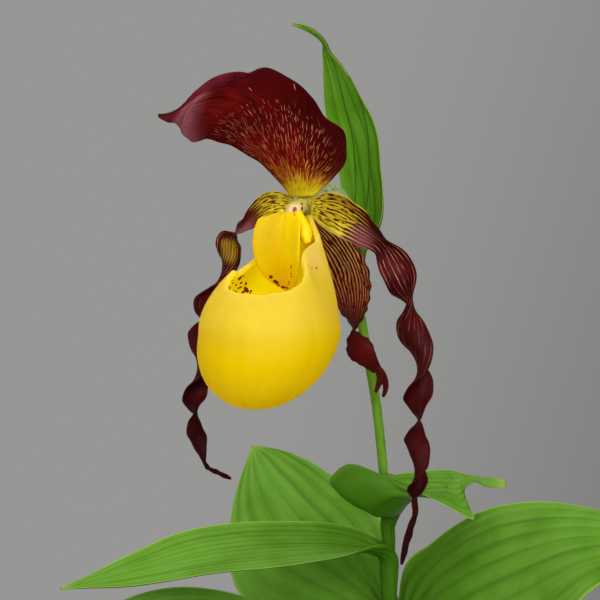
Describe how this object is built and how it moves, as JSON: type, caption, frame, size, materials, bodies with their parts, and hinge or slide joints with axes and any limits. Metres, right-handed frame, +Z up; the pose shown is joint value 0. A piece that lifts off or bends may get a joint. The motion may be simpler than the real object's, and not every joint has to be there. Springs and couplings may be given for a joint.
{
  "type": "potted slipper orchid",
  "caption": "Lady's slipper orchid in flower: a pouch-lipped bloom with twisted petals on a leafy upright stem, rooted in a round clay pot.",
  "frame": {"origin": "centre of the pot's flat base", "axes": "+Z up along the stem; the flower looks towards -Y, turned about 33 degrees to -X"},
  "size_m": [0.1755, 0.1441, 0.3597],
  "materials": {
    "clay": "matte, unglazed terracotta",
    "bark_compost": "rough, damp bark and fibre",
    "root": "rough",
    "stem_green": "satin, finely hairy",
    "sheath_green": "satin",
    "leaf_green": "satin, pleated",
    "bract_green": "satin, pleated",
    "ovary_green": "downy",
    "sepal_maroon": "satin, veined",
    "synsepal_striped": "satin, striped",
    "petal_maroon": "satin, spotted and veined",
    "lip_yellow": "waxy satin",
    "column_cream": "waxy satin",
    "staminode_yellow": "waxy satin"
  },
  "bodies": {
    "root": {"pot": "clay", "soil": "bark_compost", "rhizome": "root", "stem": "stem_green", "basal_sheath_1": "sheath_green", "basal_sheath_2": "sheath_green", "leaf_low_left": "leaf_green", "leaf_left": "leaf_green", "leaf_right": "leaf_green", "leaf_back": "leaf_green", "leaf_upper": "leaf_green", "bract": "bract_green", "ovary": "ovary_green", "dorsal_sepal": "sepal_maroon", "synsepal": "synsepal_striped", "petal_right": "petal_maroon", "petal_left": "petal_maroon", "lip": "lip_yellow", "column": "column_cream", "staminode": "staminode_yellow"}
  },
  "joints": []
}
